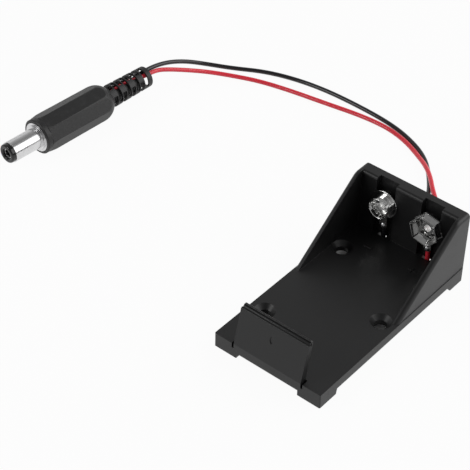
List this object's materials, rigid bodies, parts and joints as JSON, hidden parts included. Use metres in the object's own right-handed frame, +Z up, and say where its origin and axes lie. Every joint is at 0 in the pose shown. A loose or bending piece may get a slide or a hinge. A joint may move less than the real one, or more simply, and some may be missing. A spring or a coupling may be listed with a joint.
{
  "type": "nine volt battery holder",
  "caption": "Open moulded tray for a nine volt block battery, with snap terminals, a springy latch tab and leads that end in a barrel plug.",
  "frame": {"origin": "on the table, under the middle of the tray's base", "axes": "+X across the tray towards the socket terminal's side, +Y along the tray from the latch to the terminal wall, +Z up"},
  "size_m": [0.1131, 0.0933, 0.02],
  "materials": {
    "tray_plastic": "moulded, satin",
    "nickel_plate": "bright nickel plate on drawn brass",
    "tinned_brass": "dull tin plate",
    "solder": "bright solder",
    "black_insulation": "glossy soft plastic",
    "red_insulation": "glossy soft plastic",
    "tinned_copper": "tinned strands",
    "barrel_nickel": "bright nickel plate on turned brass",
    "tip_plastic": "smooth black plastic",
    "handle_plastic": "matte moulded"
  },
  "bodies": {
    "root": {"holder_body": "tray_plastic", "stud_contact": "nickel_plate", "socket_contact": "nickel_plate", "stud_lug": "tinned_brass", "socket_lug": "tinned_brass", "stud_eyelet": "nickel_plate", "socket_eyelet": "nickel_plate", "stud_solder": "solder", "socket_solder": "solder", "black_lead": "black_insulation", "red_lead": "red_insulation", "black_wire_ends": "tinned_copper", "red_wire_ends": "tinned_copper", "plug_sleeve": "barrel_nickel", "plug_tip_insulator": "tip_plastic", "plug_centre_contact": "barrel_nickel", "plug_rear_insulator": "tip_plastic", "plug_sleeve_lug": "tinned_brass", "plug_solder_centre": "solder", "plug_solder_sleeve": "solder", "plug_handle": "handle_plastic"}
  },
  "joints": []
}
